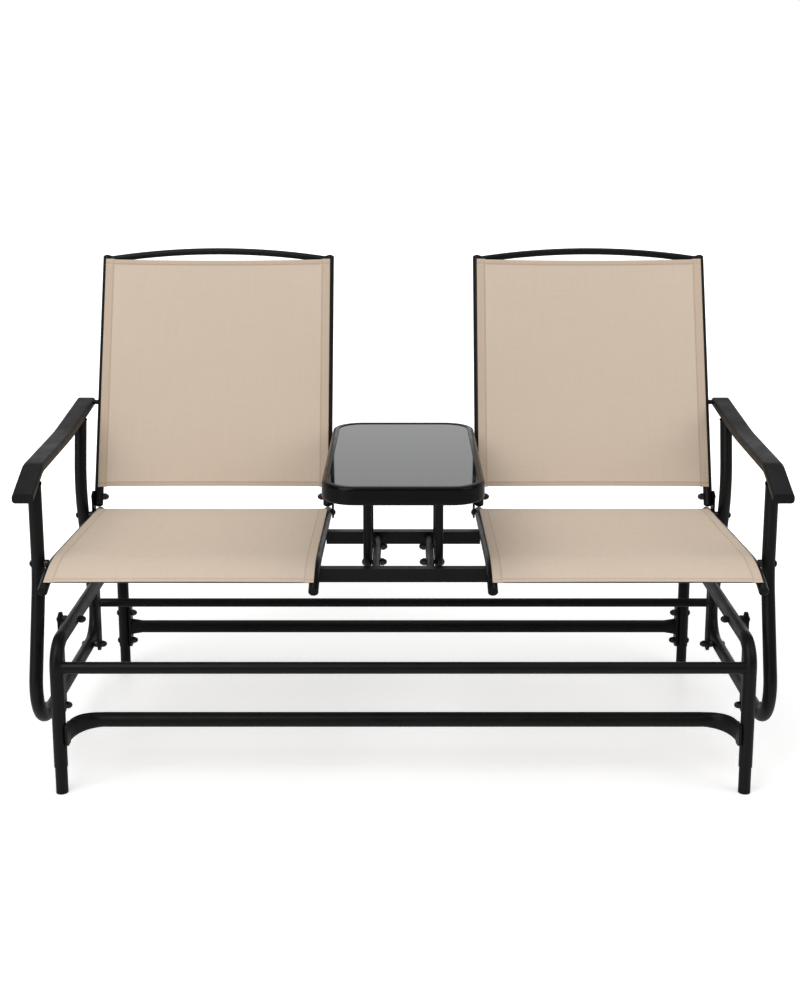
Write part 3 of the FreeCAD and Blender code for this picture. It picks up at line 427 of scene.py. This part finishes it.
class Sling:
    """Cloth stretched between two tubes: a pocket along each tube, and a hem across each end.

    A place on it is u, measured across from its middle, and a length along its line.
    """

    def __init__(self, name, line, start, stop, tubes, wrap,
                 hems, bows, fold_shade, sag, sag_from, sag_to):
        self.name, self.line, self.start, self.stop, self.tubes = name, line, start, stop, tubes
        # The last of these is the share of painted shade on the doubled cloth.
        self.hems, self.bows, self.fold_shade = hems, bows, fold_shade
        self.sag, self.sag_from, self.sag_to = sag, sag_from, sag_to
        boxes = [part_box(t) for t in tubes]
        middles = [(low.x + high.x) / 2 for low, high in boxes]
        self.centre = sum(middles) / 2
        self.half = abs(middles[1] - middles[0]) / 2
        self.ring = (boxes[0][1].x - boxes[0][0].x) / 2 + CLOTH_GAP + CLOTH / 2
        self.edge = self.half + self.ring * wrap
        self.seam = self.edge - POCKET

    def ends(self, u):
        """Where the cloth starts and stops: its hems are drawn in between the pockets."""
        inside = 1 - smooth(self.seam - TUCK, self.seam + TUCK, abs(u))
        bulge = max(1 - (u / self.seam) ** 2, 0.0)
        first, last = ((TUCK + bow * bulge) * inside for bow in self.bows)
        return self.start + first, self.stop - last

    def middle(self, u, length):
        """A point in the middle of the cloth's thickness."""
        point, up = self.line(length)
        over = abs(u) - self.half
        if over > 0:
            angle = over / self.ring
            x = math.copysign(self.half + self.ring * math.sin(angle), u)
            height = self.ring * math.cos(angle)
        else:
            share = smooth(*self.sag_from, length) * (1 - smooth(*self.sag_to, length))
            span = 1 - (u / self.half) ** 2
            drop = span * span * (3 - 2 * span) * share
            wave = RIPPLE * noise.noise(Vector((u, length, self.centre)) / RIPPLE_PITCH)
            x, height = u, self.ring - self.sag * drop + wave * drop
        y, z = point + up * height
        return Vector((self.centre + x, y, z))

    def normal(self, u, length):
        """The way out of the cloth's upper face."""
        step = NORMAL_STEP
        across = self.middle(u + step, length) - self.middle(u - step, length)
        along = self.middle(u, length + step) - self.middle(u, length - step)
        made = across.cross(along).normalized()
        up = self.line(length)[1]
        return made if made.y * up.x + made.z * up.y > 0 else -made

    def folds(self, u, length):
        """How far a point lies inside its pocket's edge and inside its nearer hem's edge."""
        first, last = self.ends(u)
        hem = max(self.hems[0] - (length - first), self.hems[1] - (last - length))
        return abs(u) - self.seam, hem

    def doubled(self, u, length):
        """1 where the cloth is folded double, and 0 where it is single."""
        return max(smooth(-FOLD_EDGE, FOLD_EDGE, inside) for inside in self.folds(u, length))

    def seam_dip_and_shade(self, u, length):
        """How deep a point lies in a seam's line, from 0 to 1: tight in places, slack in others. It
        sets the seam's dip and the painted shade in it.
        """
        spot = Vector((u, length, self.centre)) / CREASE_PITCH
        pull = CREASE_PULL + (1 - CREASE_PULL) * noise.noise(spot)
        depths = (math.exp(-((inside - SEAM_INSET) / SEAM_WIDTH) ** 2)
                  for inside in self.folds(u, length))
        return pull * max(depths)

    def rise(self, u, length):
        """How far the cloth's face stands out: doubled folds, seam lines and puckers."""
        pocket, hem = self.folds(u, length)
        rise = FOLD_RISE * self.doubled(u, length) - SEAM_DIP * self.seam_dip_and_shade(u, length)
        for inside, along in ((pocket, length), (hem, u)):
            near = math.exp(-((inside - SEAM_INSET) / PUCKER_REACH) ** 2)
            spot = Vector((along, inside, self.centre)) / PUCKER_PITCH
            rise += PUCKER * near * noise.noise(spot)
        return max(rise, -DEEPEST_DIP)

    def face(self, u, length, side):
        """A point on the cloth's upper (1) or under (-1) face, with its cut edges rounded off."""
        first, last = self.ends(u)
        inset = min(self.edge - abs(u), length - first, last - length)
        full = CUT_EDGE + (1 - CUT_EDGE) * smooth(0, CLOTH, inset)
        rise = self.rise(u, length) if side > 0 else 0.0
        out = self.normal(u, length) * side
        return self.middle(u, length) + out * (CLOTH / 2 + rise) * full

    def cloth(self):
        """The cloth itself, with its flat places and the painted shade of its doubled folds and its
        seams.
        """
        across = [e - self.edge for e in stations(2 * self.edge, POCKET + FINE_MARGIN)]
        whole = self.stop - self.start
        shares = [s / whole for s in stations(whole, max(self.hems) + FINE_MARGIN)]
        flat, points = [], []
        for side in (1, -1):
            for share in shares:
                for u in across:
                    first, last = self.ends(u)
                    length = first + share * (last - first)
                    flat.append((u, length))
                    points.append(self.face(u, length, side))
        faces = skin(len(across), len(shares))
        made = smooth_object(self.name, points, faces, LOOKS["sling_fabric"])
        uv = made.data.uv_layers.new(name=UV_NAME)
        for loop in made.data.loops:
            uv.data[loop.index].uv = flat[loop.vertex_index]
        # Masks of painted shade: the doubled cloth, scaled by its share, and the seam lines.
        layers = (("doubled", self.doubled, self.fold_shade), ("seam_dip_and_shade", self.seam_dip_and_shade, 1))
        for layer, amount, share in layers:
            values = made.data.attributes.new(layer, "FLOAT", "POINT")
            values.data.foreach_set("value", [amount(*spot) * share for spot in flat])
        return made

    def seams(self):
        """Rows of stitches: one inside each pocket's edge and one inside each hem."""
        inset = SEAM_INSET
        rows = []
        count = int((self.stop - self.start - 4 * inset) / STITCH_PITCH)
        for u in (-self.seam - inset, self.seam + inset):
            rows.append([(u, self.start + 2 * inset + i * STITCH_PITCH) for i in range(count)])
        count = int((2 * self.seam - 4 * inset) / STITCH_PITCH)
        places = [2 * inset - self.seam + i * STITCH_PITCH for i in range(count)]
        rows.append([(u, self.ends(u)[0] + self.hems[0] - inset) for u in places])
        rows.append([(u, self.ends(u)[1] - self.hems[1] + inset) for u in places])
        return rows

    def stitches(self):
        """Each stitch on both faces: a thread that dips into the cloth at its two ends."""
        points, faces = [], []

        def add_stitch(spot, following, side):
            here, there = self.face(*spot, side), self.face(*following, side)
            ahead = (there - here).normalized()
            out = self.normal(*spot) * side
            beside = ahead.cross(out)
            base = len(points)
            points.append(here - out * THREAD)
            for share in STITCH_RINGS:
                middle = here + ahead * STITCH * share + out * THREAD * STITCH_CROWN
                points.extend(middle + (beside * a + out * b) * THREAD for a, b in THREAD_RING)
            points.append(here + ahead * STITCH - out * THREAD)
            count = len(THREAD_RING)
            last = base + 1 + len(STITCH_RINGS) * count
            for k in range(count):
                a, b = base + 1 + k, base + 1 + (k + 1) % count
                faces.append((base, b, a))
                faces.append((a, b, b + count, a + count))
                faces.append((last, a + count, b + count))

        for row in self.seams():
            for side in (1, -1):
                for spot, following in zip(row, row[1:]):
                    add_stitch(spot, following, side)
        return smooth_object(self.name + "_stitches", points, faces, THREAD_LOOK)

    def build(self, node):
        """Makes the cloth and its stitches in place of the frame's plain sling."""
        cloth, stitches = self.cloth(), self.stitches()
        for made in (cloth, stitches):
            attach(made, "seat")
        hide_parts(node)


def build_slings():
    """The seat and back slings of both seats."""
    rail_line, rail_length = seat_line()
    stop = rail_length - SEAT_CLOTH_FRONT
    for side in SIDES:
        seat_tubes = (f"seat_rail_outer_{side}", f"seat_rail_inner_{side}")
        seat = Sling(f"seat_cloth_{side}", rail_line, SEAT_CLOTH_REAR, stop, seat_tubes, SEAT_WRAP,
                     SEAT_HEMS, SEAT_BOWS, SEAT_FOLD_SHADE, SEAT_SAG,
                     sag_from=(REAR_SPREADER, REAR_SPREADER + SEAT_SAG_REAR),
                     sag_to=(stop - SEAT_SAG_FRONT, stop - FRONT_SPREADER))
        seat.build(f"seat_sling_{side}")
        foot, top = BACK_CLOTH_FOOT, BACK_CLOTH_TOP
        back_tubes = (f"back_tube_outer_{side}", f"back_tube_inner_{side}")
        back = Sling(f"back_cloth_{side}", back_line, foot, top, back_tubes, BACK_WRAP,
                     BACK_HEMS, BACK_BOWS, BACK_FOLD_SHADE, BACK_SAG,
                     sag_from=(foot - BACK_SAG_BEFORE, foot + BACK_SAG_WITHIN),
                     sag_to=(top - BACK_SAG_WITHIN, top + BACK_SAG_BEFORE))
        back.build(f"back_sling_{side}")


build_slings()


# Welds

WELD = 1.1 * MM
PEG_WELD = 0.8 * MM
WELD_RIPPLE = 0.16
WELD_PITCH = 3.4 * MM
WELD_STEP = 0.8 * MM
WELD_FACES = 8

# Radii of the tubes, and how far back a rim starts from what it is run to.
TUBE = 12.7 * MM
RAIL_TUBE = 9.5 * MM
FRONT_CROSSBAR = 11 * MM
SPREADER = 8 * MM
TABLE_TUBE = 8 * MM
TOP_RAIL = 7.5 * MM
PEG = 5 * MM
POST_RUN = 50 * MM
TOP_RAIL_RUN = 40 * MM

# Middles of the right legs and of the right arm loop. The left ones mirror them.
BASE_X = 0.640
LOOP_X = 0.688

# Tops of a loop's posts: the spot, the way of the post, and the normal of the armrest there.
POST_TOPS = (
    (Vector((LOOP_X, -0.242, 0.572)), UP, Vector((0, -0.411, 0.911))),
    (Vector((LOOP_X, 0.1541, 0.6105)), Vector((0, 0.033, 0.1496)).normalized(),
     Vector((0, -0.116, 0.993))),
)
REAR_POST_FOOT = Vector((LOOP_X, 0.227, 0.112))
REAR_POST_KNEE = Vector((LOOP_X, 0.140, 0.4046))
ARM_PEG = Vector((0.677, 0.241, 0.632))

# Pressed ends of the stretchers on the legs: the spot and half of the width and height.
STRETCHER_ENDS = (
    (Vector((0.6268, -0.332, 0.116)), 6 * MM, 20 * MM),
    (Vector((0.6223, 0.288, 0.098)), 13 * MM, 18.5 * MM),
)
TOP_RAIL_END = 546 * MM
TOP_RAIL_SLOPE = math.radians(9.24)

# A way that rises more than this counts as upright.
STEEP = 0.9


def on_side(spot, sign):
    """A spot on the right (1), or its mirror image on the left (-1)."""
    return Vector((sign * spot.x, spot.y, spot.z))


def rim_of(spot, way, radius, other_radius=None):
    """Points round a tube's wall, square to its way."""
    side = way.cross(UP if abs(way.z) < STEEP else ACROSS).normalized()
    first, second = side * radius, way.cross(side) * (other_radius or radius)
    count = round(math.tau * radius / WELD_STEP)
    turns = [math.tau * i / count for i in range(count)]
    return [spot + first * math.cos(t) + second * math.sin(t) for t in turns]


def on_plane(rim, way, spot, normal):
    """The rim, run along its way to a flat face."""
    return [point + way * ((spot - point).dot(normal) / way.dot(normal)) for point in rim]


def on_post(rim, way, post, lean, radius):
    """The rim, run along its way to the first meeting with a round post."""
    line = []
    pace = way - lean * way.dot(lean)
    for point in rim:
        gap = point - post
        gap -= lean * gap.dot(lean)
        half = gap.dot(pace) / pace.dot(pace)
        rest = (gap.dot(gap) - radius ** 2) / pace.dot(pace)
        line.append(point - way * (half + math.sqrt(max(half ** 2 - rest, 0.0))))
    return line


class Welds:
    """Rippled weld beads in one mesh."""

    def __init__(self, name):
        self.name, self.points, self.faces = name, [], []

    def bead(self, line, size=WELD):
        """A bead along a closed line."""
        count = len(line)
        middle = sum(line, Vector()) / count
        turns = [math.tau * k / WELD_FACES for k in range(WELD_FACES)]
        base, run = len(self.points), 0.0
        for i, spot in enumerate(line):
            following = line[(i + 1) % count]
            ahead = (following - line[i - 1]).normalized()
            out = spot - middle
            out = (out - ahead * out.dot(ahead)).normalized()
            aside = ahead.cross(out)
            swell = size * (1 + WELD_RIPPLE * math.sin(math.tau * run / WELD_PITCH))
            run += (following - spot).length
            self.points += [spot + (out * math.cos(t) + aside * math.sin(t)) * swell for t in turns]
        for i in range(count):
            here, there = base + i * WELD_FACES, base + (i + 1) % count * WELD_FACES
            for k in range(WELD_FACES):
                after = (k + 1) % WELD_FACES
                self.faces.append((here + k, here + after, there + after, there + k))

    def build(self, body):
        """Makes the mesh, on its body."""
        made = smooth_object(self.name, self.points, self.faces, LOOKS["frame"])
        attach(made, body)


def middle_of(node):
    """The middle of a node's box."""
    low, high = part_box(node)
    return (low + high) / 2


def pair_of(kind, side):
    """X of the two seat rails or back tubes of one seat, from left to right."""
    return sorted(middle_of(f"{kind}_{which}_{side}").x for which in ("outer", "inner"))


def cross_tube_rims(node, radius):
    """The rims of a tube that lies across X, with the way to each end."""
    centre = middle_of(node)
    return [(rim_of(centre, way, radius), way) for way in (-ACROSS, ACROSS)]


def base_welds():
    """Beads round the front crossbar and the stretchers."""
    welds = Welds("base_welds")
    for rim, way in cross_tube_rims("front_crossbar", FRONT_CROSSBAR):
        leg = Vector((way.x * BASE_X, middle_of("front_crossbar").y, 0))
        welds.bead(on_post(rim, way, leg, UP, TUBE))
    for spot, half_width, half_height in STRETCHER_ENDS:
        for sign in (1, -1):
            welds.bead(rim_of(on_side(spot, sign), ACROSS, half_width, half_height))
    welds.build("base")


def loop_welds(welds):
    """Beads on the arm loops: under the armrests, round the pegs and at the rear crossbar."""
    for sign in (-1, 1):
        for spot, way, normal in POST_TOPS:
            top = on_side(spot, sign)
            rim = rim_of(top - way * POST_RUN, way, TUBE)
            welds.bead(on_plane(rim, way, top, normal))
        welds.bead(rim_of(on_side(ARM_PEG, sign), ACROSS, PEG), PEG_WELD)
    lean = (REAR_POST_KNEE - REAR_POST_FOOT).normalized()
    for rim, way in cross_tube_rims("rear_crossbar", RAIL_TUBE):
        welds.bead(on_post(rim, way, on_side(REAR_POST_FOOT, way.x), lean, TUBE))


def spreader_welds(welds, side):
    """Beads where the cross tubes of a seat meet its rails."""
    left, right = pair_of("seat_rail", side)
    for which, slope in (("front", RAIL_FRONT - RAIL_KNEE), ("rear", RAIL_KNEE - RAIL_REAR)):
        node = f"seat_{which}_tube_{side}"
        centre = middle_of(node)
        for rim, way in cross_tube_rims(node, SPREADER):
            post = Vector((right if way.x > 0 else left, centre.y, centre.z))
            welds.bead(on_post(rim, way, post, Vector((0, *slope)).normalized(), RAIL_TUBE))


def top_rail_welds(welds, side):
    """Beads where the arched top rail of a back meets its tubes."""
    end = back_line(TOP_RAIL_END)[0]
    rise = Vector((0, math.sin(RECLINE), math.cos(RECLINE)))
    for x, sign in zip(pair_of("back_tube", side), (-1, 1)):
        post = Vector((x, *end))
        way = ACROSS * sign * math.cos(TOP_RAIL_SLOPE) - rise * math.sin(TOP_RAIL_SLOPE)
        rim = rim_of(post - way * TOP_RAIL_RUN, way, TOP_RAIL)
        welds.bead(on_post(rim, way, post, rise, RAIL_TUBE))


def table_tube_welds(welds, side):
    """Beads where a table tube meets the centre bars."""
    low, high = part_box(f"table_tube_{side}")
    centre = (low + high) / 2
    for y in (low.y, high.y):
        welds.bead(rim_of(Vector((centre.x, y, centre.z)), DEEP, TABLE_TUBE))


def seat_welds():
    """Beads of the seat unit."""
    welds = Welds("seat_welds")
    loop_welds(welds)
    for side in SIDES:
        spreader_welds(welds, side)
        top_rail_welds(welds, side)
        table_tube_welds(welds, side)
    welds.build("seat")


base_welds()
seat_welds()


# Studio: floor, light and camera

FLOOR_SIZE = 40.0
FLOOR_TONE = (0.86, 0.86, 0.86, 1)
FLOOR_ROUGH = 0.35
FLOOR_SPECULAR = 0.25
FLOOR_GLOW = 0.425
FLOOR_FADE = (0.9, 2.4)

# What gloss sees: white low behind, a strip at the left in front, and a pale top.
AMBIENT = 0.55
FRONT_GLOSS = 0.05
BACK_GLOSS_TURN = (0.0, 0.45)
HIGH_BACK_GLOSS = 0.25
HIGH_BACK_TURN = (0.26, 0.42)
STRIP_GLOSS = 1.8
STRIP_WAY = Vector((-0.64, -0.77, 0))
STRIP_TURN = (0.93, 0.985)
STRIP_TOP = (0.45, 0.7)
TOP_GLOSS = 0.5
TOP_GLOSS_TURN = (0.45, 0.9)

# Camera: its lens in the photo's pixels, and the place and pitch fitted to it.
IMAGE_HEIGHT = 1000
IMAGE_MIDDLE = Vector((400, 500))
FOCAL_PIXELS = 1418
PRINCIPAL_PIXEL = Vector((404.3, 392.2))
EYE = Vector((0.002, -2.8045, 1.2420))
PITCH = math.radians(10.93)

# Lamps: name, place, width and height, power in watts. All face the target.
LAMP_TARGET = Vector((0, 0, 0.45))
LAMPS = (
    ("key", (-1.6, -2.2, 3.2), (2.4, 2.4), 56),
    ("fill", (2.4, -1.6, 2.2), (1.8, 1.8), 20),
    ("top", (0.0, 0.4, 3.0), (3.0, 1.8), 12),
)


def light_path(tree):
    """The light path's outputs, and 1 for rays from the camera or through glass."""
    path = add(tree, "ShaderNodeLightPath").outputs
    return path, number_math(tree, "MAXIMUM", path["Is Camera Ray"], path["Is Transmission Ray"])


def gloss_light(tree):
    """How bright the studio is in gloss, by direction."""
    direction = add(tree, "ShaderNodeTexCoord").outputs["Generated"]
    parts = add(tree, "ShaderNodeSeparateXYZ", {"Vector": direction}).outputs
    behind = between(tree, parts["Y"], FRONT_GLOSS, 1.0, *BACK_GLOSS_TURN)
    fading = between(tree, parts["Z"], 1.0, HIGH_BACK_GLOSS, *HIGH_BACK_TURN)
    above = between(tree, parts["Z"], 0.0, TOP_GLOSS, *TOP_GLOSS_TURN)
    level = vector_math(tree, "MULTIPLY", direction, (1, 1, 0)).outputs[0]
    level = vector_math(tree, "NORMALIZE", level).outputs[0]
    facing = vector_math(tree, "DOT_PRODUCT", level, STRIP_WAY).outputs["Value"]
    strip = between(tree, facing, 0.0, STRIP_GLOSS, *STRIP_TURN)
    under = between(tree, parts["Z"], 1.0, 0.0, *STRIP_TOP)
    gloss = number_math(tree, "MAXIMUM", number_math(tree, "MULTIPLY", behind, fading), above)
    return number_math(tree, "MAXIMUM", gloss, number_math(tree, "MULTIPLY", strip, under))


def build_world():
    """White behind the object, a studio for gloss, and an even light from all round."""
    world = bpy.data.worlds.new("studio")
    bpy.context.scene.world = world
    world.use_nodes = True
    tree = world.node_tree
    tree.nodes.clear()
    path, backdrop = light_path(tree)
    glossy = blend(tree, path["Is Glossy Ray"], AMBIENT, gloss_light(tree))
    strength = blend(tree, backdrop, glossy, 1.0)
    light = add(tree, "ShaderNodeBackground", {"Color": WHITE, "Strength": strength})
    add(tree, "ShaderNodeOutputWorld", {"Surface": light.outputs[0]})


def build_floor():
    """A pale floor that fades to white away from the object and keeps its shadow."""
    half = FLOOR_SIZE / 2
    mesh = bpy.data.meshes.new("floor")
    corners = [(-half, -half, 0), (half, -half, 0), (half, half, 0), (-half, half, 0)]
    mesh.from_pydata(corners, [], [(0, 1, 2, 3)])
    made, tree, shader = new_material("pale_floor")
    backdrop = light_path(tree)[1]
    reach = vector_math(tree, "LENGTH", place(tree)).outputs["Value"]
    glow = between(tree, reach, FLOOR_GLOW, 1.0, *FLOOR_FADE)
    fill(tree, shader, {
        "Base Color": FLOOR_TONE,
        "Roughness": FLOOR_ROUGH,
        "Specular IOR Level": FLOOR_SPECULAR,
        "Emission Color": WHITE,
        "Emission Strength": number_math(tree, "MULTIPLY", backdrop, glow),
    })
    mesh.materials.append(made)
    link_object("floor", mesh)


def build_lamps():
    """Soft area lamps round the object."""
    for name, spot, size, power in LAMPS:
        lamp = bpy.data.lights.new(name, "AREA")
        lamp.shape = "RECTANGLE"
        lamp.size, lamp.size_y = size
        lamp.energy = power
        made = link_object(name, lamp)
        made.location = spot
        facing = LAMP_TARGET - Vector(spot)
        made.rotation_euler = facing.to_track_quat("-Z", "Y").to_euler()


def build_camera():
    """The camera, shifted so that its axis meets the picture at the principal pixel."""
    camera = bpy.data.cameras.new("camera")
    camera.lens = FOCAL_PIXELS * camera.sensor_width / IMAGE_HEIGHT
    shift = (IMAGE_MIDDLE - PRINCIPAL_PIXEL) / IMAGE_HEIGHT
    camera.shift_x, camera.shift_y = shift.x, -shift.y
    made = link_object("camera", camera)
    made.location = EYE
    made.rotation_euler = (math.pi / 2 - PITCH, 0, 0)
    bpy.context.scene.camera = made


build_world()
build_floor()
build_lamps()
build_camera()
bpy.context.scene.view_settings.view_transform = "Standard"
